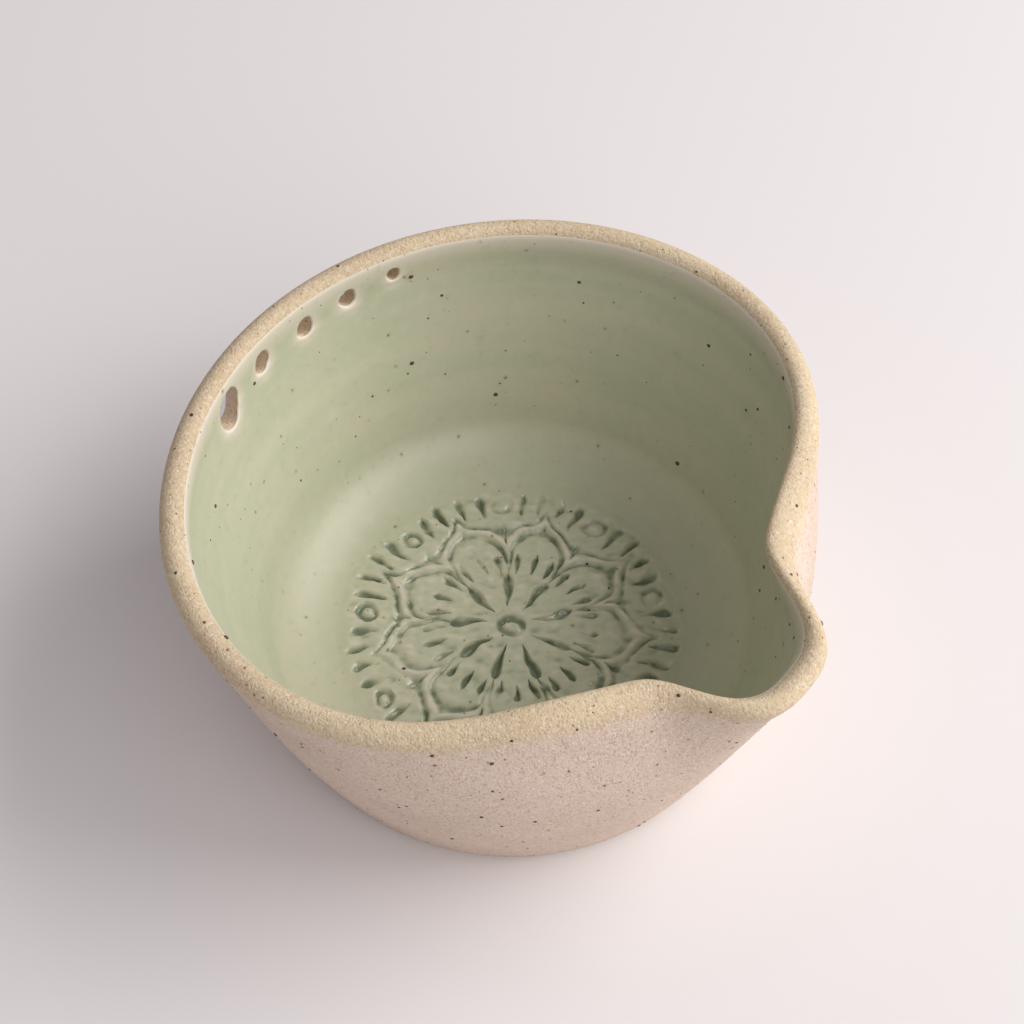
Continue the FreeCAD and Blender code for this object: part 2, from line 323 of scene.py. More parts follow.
def hole_loops(hole, front_skin, back_skin, front_edge, back_edge, lip, thickness):
    """Loops of points that lead from the front skin, through the hole, out to the back skin."""
    radius, turn, z, stretch, slant = hole
    wall_radius = inner_radius(z)
    half_wall = wall_at(z) / 2.0

    def middle_height(skin):
        depth = float(skin(z, turn)) - wall_radius - half_wall
        return z - depth * math.sin(hole_tilt)

    def middle_turn(skin):
        return turn + slant / wall_radius * (float(skin(z, turn)) - wall_radius) / (2.0 * half_wall)

    def edge_turns(points):
        return np.mod(np.arctan2(points[:, 1], points[:, 0]), 2.0 * math.pi), points[:, 2]

    front_turns, front_heights = edge_turns(front_edge)
    back_turns, back_heights = edge_turns(back_edge)
    bearing = np.arctan2(front_heights - middle_height(front_skin),
                         (front_turns - middle_turn(front_skin)) * wall_radius)

    def round_hole(skin, grow):
        reach = hole_reach(hole, bearing) + grow
        return (middle_turn(skin) + reach * np.cos(bearing) / wall_radius,
                middle_height(skin) + reach * np.sin(bearing))

    loops = []
    for share in (0.25, 0.5, 0.72, 0.88):
        to_turn, to_height = round_hole(front_skin, lip)
        loops.append(on_skin(front_skin, front_turns + (to_turn - front_turns) * share,
                             front_heights + (to_height - front_heights) * share))
    sweep = np.radians([0.0, 25.0, 50.0, 75.0, 90.0])
    depths = list(lip * (1.0 - np.cos(sweep)) / thickness)
    grows = list(lip * (1.0 - np.sin(sweep)))
    back_lip = min(lip, 0.25 * thickness)
    depths += [1.0 - depth for depth in back_lip * (1.0 - np.cos(sweep[::-1])) / thickness]
    grows += list(back_lip * (1.0 - np.sin(sweep[::-1])))
    for depth, grow in zip(depths, grows):
        front = on_skin(front_skin, *round_hole(front_skin, grow))
        back = on_skin(back_skin, *round_hole(back_skin, grow))
        loops.append(front + (back - front) * depth)
    for share in (0.88, 0.72, 0.5, 0.25):
        to_turn, to_height = round_hole(back_skin, back_lip)
        loops.append(on_skin(back_skin, back_turns + (to_turn - back_turns) * share,
                             back_heights + (to_height - back_heights) * share))
    return loops


def thrown_piece(name, rings, poles, pierced):
    """A closed mesh through rings of points. Poles close its ends, or it closes on itself.
    Each pierced entry is (front block, back block, loops between them)."""
    points = [np.concatenate(rings)]
    count = len(rings) * around
    taken_out = np.zeros((len(rings), around), dtype=bool)
    for front, back, loops in pierced:
        for low, high, first, last in (front, back):
            taken_out[min(low, high):max(low, high), first:last] = True
    column = np.arange(around)
    after = (column + 1) % around
    faces = []
    last_ring = len(rings) - 1 if poles else len(rings)
    for j in range(last_ring):
        here, there = j * around, (j + 1) % len(rings) * around
        quads = np.stack([here + column, here + after, there + after, there + column], axis=1)
        faces += quads[~taken_out[j]].tolist()
    for front, back, loops in pierced:
        chain = [np.array([j * around + i for j, i in block_edge(front)])]
        for loop in loops:
            chain.append(count + np.arange(len(loop)))
            points.append(loop)
            count += len(loop)
        chain.append(np.array([j * around + i for j, i in block_edge(back)]))
        for here, there in zip(chain, chain[1:]):
            faces += np.stack([here, np.roll(here, -1), np.roll(there, -1), there], axis=1).tolist()
    for pole, ring in zip(poles or (), (0, len(rings) - 1)):
        points.append(np.array([pole]))
        faces += np.stack([ring * around + column, ring * around + after,
                           np.full(around, count)], axis=1).tolist()
        count += 1
    mesh = bpy.data.meshes.new(name)
    mesh.from_pydata((np.concatenate(points) * mm).tolist(), [], faces)
    mesh.update()
    piece = bpy.data.objects.new(name, mesh)
    bpy.context.scene.collection.objects.link(piece)
    bpy.context.view_layer.objects.active = piece
    bpy.ops.object.mode_set(mode="EDIT")
    bpy.ops.mesh.select_all(action="SELECT")
    bpy.ops.mesh.normals_make_consistent(inside=False)
    bpy.ops.object.mode_set(mode="OBJECT")
    mesh.shade_smooth()
    return piece, np.concatenate(points)


def paint(piece, name, values):
    """Stores one number for each point of a piece, for its material to read."""
    piece.data.attributes.new(name, "FLOAT", "POINT").data.foreach_set("value", values)


def from_holes(points):
    """Distance of each point on the wall from the nearest hole's edge, below nought inside it."""
    turn = np.mod(np.arctan2(points[:, 1], points[:, 0]), 2.0 * math.pi)
    nearest = np.full(len(points), 99.0)
    for hole in holes:
        across = (turn - hole[1]) * inner_radius(hole[2])
        up = points[:, 2] - hole[2]
        edge = np.hypot(across, up) - hole_reach(hole, np.arctan2(up, across))
        nearest = np.minimum(nearest, edge)
    return nearest


# ---------------------------------------------------------------------------------------------
# The pinched spout: while the clay is soft, two fingers press a throat in on each side and a
# third draws the lip out between them. The tree moves a thrown, round wall to that shape.

def math_of(tree, operation, *values):
    """A math node in a tree. Its values are numbers or other nodes' sockets."""
    node = tree.nodes.new("ShaderNodeMath")
    node.operation = operation
    for socket, value in zip(node.inputs, values):
        if isinstance(value, (int, float)):
            socket.default_value = value
        else:
            tree.links.new(value, socket)
    return node.outputs[0]


def finish_tree(tree, geometry, finish):
    """Ends a tree: whatever it copied becomes real mesh, and gets this material."""
    real = tree.nodes.new("GeometryNodeRealizeInstances")
    finished = tree.nodes.new("GeometryNodeSetMaterial")
    tree.links.new(geometry, real.inputs[0])
    tree.links.new(real.outputs[0], finished.inputs["Geometry"])
    tree.links.new(finish, finished.inputs["Material"])
    tree.links.new(finished.outputs[0], tree.nodes.new("NodeGroupOutput").inputs["Geometry"])


def pinched_spout_tree():
    """Moves a wall outwards at the lip and inwards at the throats, more and more towards its rim."""
    tree = bpy.data.node_groups.new("pinched spout", "GeometryNodeTree")
    sockets = tree.interface
    sockets.new_socket("Geometry", in_out="INPUT", socket_type="NodeSocketGeometry")
    sizes = {"Rim height": height * mm, "Round below": 8.0 * mm, "Fade power": 3.0,
             "Lip reach": 15.4 * mm, "Lip half width": 12.1, "Lip squareness": 3.3,
             "Throat depth": 13.1 * mm, "Left throat": 30.4, "Left throat width": 23.8,
             "Right throat": -37.5, "Right throat width": 28.9,
             "Throat rise": throat_rise * mm, "Rise width": 14.0,
             "Rim offset": 0.7 * mm, "Rim oval": -1.4 * mm, "Rim tilt": rim_tilt * mm}
    for name, size in sizes.items():
        socket = sockets.new_socket(name, in_out="INPUT", socket_type="NodeSocketFloat")
        socket.default_value = size
    sockets.new_socket("Finish", in_out="INPUT", socket_type="NodeSocketMaterial")
    sockets.new_socket("Geometry", in_out="OUTPUT", socket_type="NodeSocketGeometry")
    given = tree.nodes.new("NodeGroupInput").outputs

    def maths(operation, *values):
        return math_of(tree, operation, *values)

    position = tree.nodes.new("GeometryNodeInputPosition").outputs[0]
    parts = tree.nodes.new("ShaderNodeSeparateXYZ")
    tree.links.new(position, parts.inputs[0])
    x, y, z = parts.outputs
    turn = maths("ARCTAN2", y, x)
    degrees = maths("DEGREES", turn)

    def bump(middle, half_width, power):
        gap = maths("ABSOLUTE", maths("SUBTRACT", degrees, middle))
        fall = maths("POWER", maths("DIVIDE", gap, half_width), power)
        return maths("EXPONENT", maths("MULTIPLY", fall, -0.5))

    lip = bump(0.0, given["Lip half width"], given["Lip squareness"])
    lip = maths("MULTIPLY", given["Lip reach"], lip)
    left = bump(given["Left throat"], given["Left throat width"], 2.0)
    right = bump(given["Right throat"], given["Right throat width"], 2.0)
    throats = maths("MULTIPLY", given["Throat depth"], maths("ADD", left, right))
    lean = maths("MULTIPLY", given["Rim offset"], maths("COSINE", turn))
    oval = maths("MULTIPLY", given["Rim oval"], maths("COSINE", maths("MULTIPLY", turn, 2.0)))
    shift = maths("ADD", maths("SUBTRACT", lip, throats), maths("ADD", lean, oval))
    lifted = maths("ADD", bump(given["Left throat"], given["Rise width"], 2.0),
                   bump(given["Right throat"], given["Rise width"], 2.0))
    rise = maths("ADD", maths("MULTIPLY", given["Throat rise"], lifted),
                 maths("MULTIPLY", given["Rim tilt"], maths("SINE", turn)))
    span = maths("SUBTRACT", given["Rim height"], given["Round below"])
    climbed = maths("DIVIDE", maths("SUBTRACT", z, given["Round below"]), span)
    climbed = maths("MINIMUM", maths("MAXIMUM", climbed, 0.0), 1.0)
    share = maths("POWER", climbed, given["Fade power"])
    outwards = maths("MULTIPLY", shift, share)
    offset = tree.nodes.new("ShaderNodeCombineXYZ")
    tree.links.new(maths("MULTIPLY", outwards, maths("COSINE", turn)), offset.inputs[0])
    tree.links.new(maths("MULTIPLY", outwards, maths("SINE", turn)), offset.inputs[1])
    tree.links.new(maths("MULTIPLY", rise, share), offset.inputs[2])
    move = tree.nodes.new("GeometryNodeSetPosition")
    tree.links.new(given["Geometry"], move.inputs["Geometry"])
    tree.links.new(offset.outputs[0], move.inputs["Offset"])
    finish_tree(tree, move.outputs[0], given["Finish"])
    return tree


def plain_mesh(piece, tree, values):
    """Runs a tree on a piece and keeps the result as its plain mesh. The values are for the tree's
    inputs by name, and a string among them names an attribute of the piece."""
    modifier = piece.modifiers.new(tree.name, "NODES")
    modifier.node_group = tree
    for item in tree.interface.items_tree:
        value = values.get(item.name)
        if isinstance(value, str):
            modifier[item.identifier + "_use_attribute"] = True
            modifier[item.identifier + "_attribute_name"] = value
        elif value is not None:
            modifier[item.identifier] = value
    depsgraph = bpy.context.evaluated_depsgraph_get()
    mesh = bpy.data.meshes.new_from_object(piece.evaluated_get(depsgraph), depsgraph=depsgraph)
    mesh.name = piece.name
    piece.modifiers.remove(modifier)
    piece.data = mesh


pinched_spout = pinched_spout_tree()

# ---------------------------------------------------------------------------------------------
# The clay body: bare speckled stoneware outside, over the rolled rim and under the foot. It is
# sandy to the touch, toasted buff on the rim, darker buff in the holes as painted shade, and flat
# underneath.

outer_levels = np.linspace(foot_bevel, rim_level - 0.1, 46)
inner_levels = np.linspace(curve_top, line_height - 0.9, 35)
grains_per_metre, flecks_per_metre = 2300.0, 2600.0
buff_body, pale_body = (0.70, 0.555, 0.457), (0.77, 0.612, 0.515)
# The toasted colours are the real toasting of the rim and foot, and also the painted shade in the
# holes.
toasted_clay_and_hole_shade, pale_toast_and_hole_shade = (0.63, 0.49, 0.305), (0.71, 0.57, 0.375)
cream_grain, white_grain = (0.86, 0.76, 0.62), (0.93, 0.88, 0.82)
brown_grain, dark_fleck = (0.47, 0.335, 0.235), (0.40, 0.30, 0.23)
rusty_halo, iron_brown = (0.42, 0.25, 0.13), (0.12, 0.06, 0.04)


def wire_cut(radius, turn):
    """Shell-shaped drag marks that the cutting wire left under the foot."""
    x, y = radius * np.cos(turn), radius * np.sin(turn)
    from_side = np.hypot(x + 70.0, y - 20.0)
    marks = 0.5 + 0.5 * np.sin(2.0 * math.pi * from_side / 6.5 + 0.8 * np.sin(y / 11.0))
    return 0.22 * marks * eased((47.0 - radius) / 6.0)


def rim_ring(turn, proud):
    """A ring over the rolled rim, this many degrees round its section from the outside."""
    turn = math.radians(turn)
    wobble = rim_wobble(turns)
    return ring_of(rim_middle + wobble + (half_rim + proud) * math.cos(turn),
                   rim_level + (half_rim + proud + 0.25 * wobble) * math.sin(turn))


def clay_rings():
    """Rings from the middle of the foot, up the outside, over the rim and down to the floor."""
    rings = [ring_of(radius, wire_cut(radius, turns)) for radius in np.arange(3.0, 48.0, 3.4)]
    for turn in np.radians([0.0, 25.0, 50.0, 75.0]):
        rings.append(ring_of(foot_radius - foot_bevel * (1.0 - math.sin(turn)),
                             foot_bevel * (1.0 - math.cos(turn))))
    first_outer = len(rings)
    rings += [ring_of(outer_skin(z, turns), z) for z in outer_levels]
    rings += [rim_ring(turn, 0.0) for turn in np.arange(8.0, 170.0, 10.0)]
    first_inner = len(rings)
    rings += [ring_of(under_glaze_skin(z, turns), z) for z in inner_levels[::-1]]
    rings += curve_rings(glaze_thickness) + floor_rings(glaze_thickness)
    return rings, first_outer, first_inner


def clay_holes(rings, first_outer, first_inner):
    """The blocks and loops of the holes between the outside and the clay under the glaze."""
    pierced = []
    for hole in holes:
        low, high, first, last = hole_block(hole, outer_levels)
        front = (first_outer + low, first_outer + high, first, last)
        low, high, first, last = hole_block(hole, inner_levels)
        top = first_inner + len(inner_levels) - 1
        back = (top - low, top - high, first, last)
        edges = [np.array([rings[j][i] for j, i in block_edge(block)]) for block in (front, back)]
        pierced.append((front, back, hole_loops(hole, outer_skin, under_glaze_skin, *edges,
                                                hole_lip, wall_at(hole[2]))))
    return pierced


# Its finish: sandy grains, brown and cream, in a buff body that is toasted where it is bare, and
# the same darker buff is painted inside the holes as shade.

def socket_group(name, inputs, outputs):
    """A shader node group with these named sockets, and its own input and output nodes."""
    group = bpy.data.node_groups.new(name, "ShaderNodeTree")
    for socket_name, kind, value in inputs:
        socket = group.interface.new_socket(socket_name, in_out="INPUT", socket_type=kind)
        if value is not None:
            socket.default_value = value
    for socket_name, kind in outputs:
        group.interface.new_socket(socket_name, in_out="OUTPUT", socket_type=kind)
    return group, group.nodes.new("NodeGroupInput").outputs, group.nodes.new("NodeGroupOutput").inputs


def placed(material, group, values):
    """A node group placed in a material with its own values."""
    node = material.node_tree.nodes.new("ShaderNodeGroup")
    node.node_tree = group
    for name, value in values.items():
        if isinstance(value, (int, float)):
            node.inputs[name].default_value = value
        else:
            material.node_tree.links.new(value, node.inputs[name])
    return node.outputs


def noise_of(tree, vector, scale, detail=2.0, roughness=0.5):
    node = tree.nodes.new("ShaderNodeTexNoise")
    node.inputs["Scale"].default_value = scale
    node.inputs["Detail"].default_value = detail
    node.inputs["Roughness"].default_value = roughness
    tree.links.new(vector, node.inputs["Vector"])
    return node.outputs["Fac"]


def spread(tree, value, low, high, to_low=0.0, to_high=1.0):
    """Stretches the values between low and high over another range, and clamps them."""
    node = tree.nodes.new("ShaderNodeMapRange")
    node.interpolation_type = "SMOOTHSTEP"
    node.inputs["From Min"].default_value = low
    node.inputs["From Max"].default_value = high
    node.inputs["To Min"].default_value = to_low
    node.inputs["To Max"].default_value = to_high
    tree.links.new(value, node.inputs["Value"])
    return node.outputs["Result"]


def mixed(tree, share, first, second):
    """Colours mixed by a share. Colours are tuples or other nodes' sockets."""
    node = tree.nodes.new("ShaderNodeMix")
    node.data_type = "RGBA"
    for socket, value in zip((node.inputs[0], node.inputs[6], node.inputs[7]), (share, first, second)):
        if isinstance(value, (int, float)):
            socket.default_value = value
        elif isinstance(value, tuple):
            socket.default_value = (*value, 1.0)
        else:
            tree.links.new(value, socket)
    return node.outputs[2]


# Iron freckles: grains of iron in the clay that melt out as brown dots, dark in the middle with
# a rusty halo. They show through both the bare clay and the glaze.

def iron_freckle_group():
    group, given, result = socket_group(
        "iron freckles",
        [("Vector", "NodeSocketVector", None), ("Scale", "NodeSocketFloat", 300.0),
         ("Share", "NodeSocketFloat", 0.1), ("Size", "NodeSocketFloat", 0.2)],
        [("Dot", "NodeSocketFloat"), ("Halo", "NodeSocketFloat")])
    bend = group.nodes.new("ShaderNodeTexNoise")
    bend.inputs["Scale"].default_value = 900.0
    group.links.new(given["Vector"], bend.inputs["Vector"])
    shake = group.nodes.new("ShaderNodeVectorMath")
    shake.operation = "MULTIPLY_ADD"
    shake.inputs[1].default_value = (0.0006, 0.0006, 0.0006)
    group.links.new(bend.outputs["Color"], shake.inputs[0])
    group.links.new(given["Vector"], shake.inputs[2])
    cells = group.nodes.new("ShaderNodeTexVoronoi")
    group.links.new(shake.outputs[0], cells.inputs["Vector"])
    group.links.new(given["Scale"], cells.inputs["Scale"])
    tone = group.nodes.new("ShaderNodeSeparateColor")
    group.links.new(cells.outputs["Color"], tone.inputs[0])
    chosen = math_of(group, "LESS_THAN", tone.outputs[0], given["Share"])
    size = math_of(group, "MULTIPLY", given["Size"], math_of(group, "ADD", tone.outputs[1], 0.25))
    near = math_of(group, "DIVIDE", cells.outputs["Distance"], size)
    dot = math_of(group, "MULTIPLY", chosen, spread(group, near, 1.0, 0.6))
    halo = math_of(group, "MULTIPLY", chosen, spread(group, near, 2.4, 0.7))
    group.links.new(dot, result["Dot"])
    group.links.new(halo, result["Halo"])
    return group


# Throwing rings: faint level bands, where fingers ran round the turning wall.

def throwing_ring_group():
    group, given, result = socket_group(
        "throwing rings", [("Vector", "NodeSocketVector", None), ("Pitch", "NodeSocketFloat", 0.004)],
        [("Band", "NodeSocketFloat")])
    parts = group.nodes.new("ShaderNodeSeparateXYZ")
    group.links.new(given["Vector"], parts.inputs[0])
    flat = group.nodes.new("ShaderNodeCombineXYZ")
    for axis in (0, 1):
        group.links.new(math_of(group, "MULTIPLY", parts.outputs[axis], 8.0), flat.inputs[axis])
    group.links.new(math_of(group, "DIVIDE", parts.outputs[2], given["Pitch"]), flat.inputs[2])
    group.links.new(noise_of(group, flat.outputs[0], 1.0, 3.0, 0.55), result["Band"])
    return group


iron_freckles = iron_freckle_group()
throwing_rings = throwing_ring_group()


def new_material(name):
    """An empty node material with its Principled shader, and the object's own coordinates."""
    material = bpy.data.materials.new(name)
    material.use_nodes = True
    tree = material.node_tree
    place = tree.nodes.new("ShaderNodeTexCoord").outputs["Object"]
    return material, tree, tree.nodes["Principled BSDF"].inputs, place


def painted(tree, name):
    node = tree.nodes.new("ShaderNodeAttribute")
    node.attribute_name = name
    return node.outputs["Fac"]


def bumped(tree, shader, height_value, distance, strength):
    """Fine relief on a finish, this many metres high."""
    node = tree.nodes.new("ShaderNodeBump")
    node.inputs["Distance"].default_value = distance
    node.inputs["Strength"].default_value = strength
    tree.links.new(height_value, node.inputs["Height"])
    tree.links.new(node.outputs["Normal"], shader["Normal"])


def stoneware():
    material, tree, shader, place = new_material("sandy speckled stoneware")
    grains = tree.nodes.new("ShaderNodeTexVoronoi")
    grains.inputs["Scale"].default_value = grains_per_metre
    tree.links.new(place, grains.inputs["Vector"])
    tone = tree.nodes.new("ShaderNodeSeparateColor")
    tree.links.new(grains.outputs["Color"], tone.inputs[0])
    patches = noise_of(tree, place, 45.0, 3.0)
    fine = noise_of(tree, place, flecks_per_metre, 3.0, 0.6)
    # The toasted mask also carries the painted shade in the holes, in the same toasted colours.
    toast_and_hole_shade = math_of(tree, "MULTIPLY", painted(tree, "toasted_and_hole_shade"),
                    spread(tree, patches, 0.2, 0.6, 0.75, 1.0))
    body = mixed(tree, spread(tree, patches, 0.35, 0.65), buff_body, pale_body)
    rim = mixed(tree, spread(tree, patches, 0.35, 0.65), toasted_clay_and_hole_shade, pale_toast_and_hole_shade)
    colour = mixed(tree, toast_and_hole_shade, body, rim)
    colour = mixed(tree, spread(tree, tone.outputs[0], 0.55, 0.8, 0.0, 0.36), colour, cream_grain)
    colour = mixed(tree, spread(tree, tone.outputs[0], 0.975, 0.99, 0.0, 0.36), colour, white_grain)
    colour = mixed(tree, spread(tree, tone.outputs[1], 0.72, 0.95, 0.0, 0.46), colour, brown_grain)
    colour = mixed(tree, spread(tree, fine, 0.35, 0.7, 0.16, 0.0), colour, dark_fleck)
    freckles = placed(material, iron_freckles,
                      {"Vector": place, "Scale": 420.0, "Share": 0.45, "Size": 0.12})
    colour = mixed(tree, math_of(tree, "MULTIPLY", freckles["Halo"], 0.30), colour, rusty_halo)
    colour = mixed(tree, math_of(tree, "MULTIPLY", freckles["Dot"], 0.8), colour, iron_brown)
    tree.links.new(colour, shader["Base Color"])
    shader["Roughness"].default_value = 0.82
    shader["Specular IOR Level"].default_value = 0.3
    bands = placed(material, throwing_rings, {"Vector": place, "Pitch": 5.0 * mm})["Band"]
    lumps = math_of(tree, "MULTIPLY", tone.outputs[2],
                    spread(tree, grains.outputs["Distance"], 0.75, 0.1))
    rough = math_of(tree, "MULTIPLY", lumps, 0.8)
    for layer, weight in ((fine, 0.5), (noise_of(tree, place, 900.0, 2.0), 0.7), (bands, 1.2)):
        rough = math_of(tree, "ADD", rough, math_of(tree, "MULTIPLY", layer, weight))
    bumped(tree, shader, rough, 0.20 * mm, 0.72)
    return material


rings, first_outer, first_inner = clay_rings()
poles = [0.0, 0.0, float(wire_cut(0.0, 0.0))], floor_middle(glaze_thickness)
clay, clay_points = thrown_piece("speckled_clay_bowl", rings, poles,
                                 clay_holes(rings, first_outer, first_inner))
radius, z = np.hypot(clay_points[:, 0], clay_points[:, 1]), clay_points[:, 2]
by_the_rim = np.clip((z - (height - 4.2)) / 2.2, 0.0, 1.0)
# Painted shade: the hole walls get the darker toasted colour to stand for the shadow inside the holes.
shade_in_a_hole = np.clip(1.0 - from_holes(clay_points) / 0.9, 0.0, 1.0) * (z > 40.0)
by_the_foot = 0.55 * np.clip(1.0 - z / 2.2, 0.0, 1.0)
paint(clay, "toasted_and_hole_shade", np.maximum(np.maximum(by_the_rim, shade_in_a_hole), by_the_foot))
glazed = (radius < inner_radius(z) + 1.4) & (z < line_height - 0.5) & (z > 1.0)
paint(clay, "bare", np.where(glazed | (z < 0.4), 0.0, 1.0))
plain_mesh(clay, pinched_spout, {"Finish": stoneware()})
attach(clay, "root")
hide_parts("clay_body")

# ---------------------------------------------------------------------------------------------
# The glaze: a thin pale green celadon poured in and swilled round. It is whitish where it
# thins out at its edge and round the holes, and dark where it pools in the stamped marks.

buff_green, leaf_green = (0.555, 0.54, 0.395), (0.485, 0.505, 0.36)
whitish_edge, thin_buff = (0.77, 0.69, 0.59), (0.645, 0.60, 0.475)
deep_green = (0.20, 0.235, 0.15)
milky_cloud, clear_green = (0.66, 0.61, 0.47), (0.34, 0.36, 0.24)
amber_halo, sunk_iron = (0.33, 0.28, 0.14), (0.14, 0.11, 0.06)
glaze_bite = 0.05                           # how far the back of the glaze sinks into the clay
glaze_back = glaze_thickness + glaze_bite


def glaze_wall():
    """Rings up the open face of the glaze, over its edge and down its back, and its holes."""
    front = curve_rings(0.0)[::-1]
    edge = ring_of(floor_radius, floor_height - floor_pressed[-1])
    front = [edge] + front + [ring_of(glaze_skin(z, turns), z) for z in inner_levels]
    first_front = len(front) - len(inner_levels)
    line_turn = 180.0 - math.degrees(math.asin((line_height - rim_level) / half_rim))
    front += [rim_ring(line_turn + back, proud)
              for back, proud in ((11.0, 0.05), (5.5, 0.05), (1.5, 0.03), (0.0, -0.30))]
    first_back = len(front)
    back = [ring_of(under_glaze_skin(z, turns) + glaze_bite, z) for z in inner_levels[::-1]]
    back += curve_rings(glaze_back)
    back.append(ring_of(floor_radius, floor_height - glaze_thickness - glaze_bite - floor_pressed[-1]))
    rings = front + back
    pierced = []
    for hole in holes:
        low, high, first, last = hole_block(hole, inner_levels)
        top = first_back + len(inner_levels) - 1
        blocks = ((first_front + low, first_front + high, first, last),
                  (top - low, top - high, first, last))
        edges = [np.array([rings[j][i] for j, i in block_edge(block)]) for block in blocks]
        pierced.append((*blocks, hole_loops(hole, glaze_skin, under_glaze_skin, *edges,
                                            glaze_lip, glaze_thickness)))
    return rings, pierced


def celadon():
    material, tree, shader, place = new_material("speckled celadon glaze")
    pooled = painted(tree, "pooled")
    bands = placed(material, throwing_rings, {"Vector": place, "Pitch": 8.5 * mm})["Band"]
    clouds = noise_of(tree, place, 38.0, 4.0, 0.55)
    drift = math_of(tree, "ADD", math_of(tree, "MULTIPLY", bands, 0.6),
                    math_of(tree, "MULTIPLY", clouds, 0.4))
    even = mixed(tree, spread(tree, drift, 0.36, 0.66), buff_green, leaf_green)
    thin = mixed(tree, spread(tree, pooled, 0.0, 0.20), whitish_edge, thin_buff)
    colour = mixed(tree, spread(tree, pooled, 0.15, 0.5), thin, even)
    colour = mixed(tree, spread(tree, pooled, 0.55, 1.0), colour, deep_green)
    cloudy = noise_of(tree, place, 420.0, 3.0, 0.6)
    colour = mixed(tree, spread(tree, cloudy, 0.52, 0.8, 0.0, 0.30), colour, milky_cloud)
    colour = mixed(tree, spread(tree, cloudy, 0.45, 0.2, 0.0, 0.30), colour, clear_green)
    freckles = placed(material, iron_freckles,
                      {"Vector": place, "Scale": 330.0, "Share": 0.5, "Size": 0.10})
    colour = mixed(tree, math_of(tree, "MULTIPLY", freckles["Halo"], 0.40), colour, amber_halo)
    colour = mixed(tree, math_of(tree, "MULTIPLY", freckles["Dot"], 0.65), colour, sunk_iron)
    tree.links.new(colour, shader["Base Color"])
    smooth = spread(tree, pooled, 0.0, 0.45, 0.60, 0.38)
    tree.links.new(math_of(tree, "SUBTRACT", smooth, spread(tree, pooled, 0.50, 0.64, 0.0, 0.28)),
                   shader["Roughness"])
    ripple = math_of(tree, "MULTIPLY", noise_of(tree, place, 240.0, 2.0), 0.5)
    bumped(tree, shader, math_of(tree, "ADD", ripple, bands), 0.3 * mm, 0.35)
    return material


rings, pierced = glaze_wall()
wall_glaze, wall_points = thrown_piece("celadon_glaze_wall", rings, None, pierced)
turn = np.arctan2(wall_points[:, 1], wall_points[:, 0])
radius, z = np.hypot(wall_points[:, 0], wall_points[:, 1]), wall_points[:, 2]
from_edge = np.minimum(line_height - z, 2.2 * np.maximum(from_holes(wall_points), 0.0))
paint(wall_glaze, "pooled", 0.5 * np.clip((from_edge - 0.3) / 6.5, 0.0, 1.0) ** 0.6)
in_the_open = (radius < glaze_skin(z, turn) + 0.12) & (z > curve_top)
paint(wall_glaze, "open_face", np.where(in_the_open, 1.0, 0.0))
celadon_finish = celadon()
plain_mesh(wall_glaze, pinched_spout, {"Finish": celadon_finish})

front, back = floor_rings(0.0)[::-1], floor_rings(glaze_back)
poles = floor_middle(0.0), floor_middle(glaze_back)
floor_glaze = thrown_piece("celadon_glaze_floor", front + back, poles, [])[0]
pools = [floor_pooled.ravel(), floor_pooled[::-1].ravel(), [0.5, 0.5]]
paint(floor_glaze, "pooled", np.concatenate(pools))
open_face = [np.ones(len(front) * around), np.zeros(len(back) * around), [1.0, 0.0]]
paint(floor_glaze, "open_face", np.concatenate(open_face))
floor_glaze.data.materials.append(celadon_finish)

for piece in (wall_glaze, floor_glaze):
    piece.data.set_sharp_from_angle(angle=math.radians(50.0))
    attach(piece, "root")
    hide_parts("glaze_lining")

# ---------------------------------------------------------------------------------------------
# Iron grains: the larger grains in the clay stand a little proud of the bare surface, and show
# as dark beads through the glaze. They lie where chance left them.

grain_roughness = 0.38
iron_black, iron_rust = (0.030, 0.017, 0.012), (0.15, 0.065, 0.035)


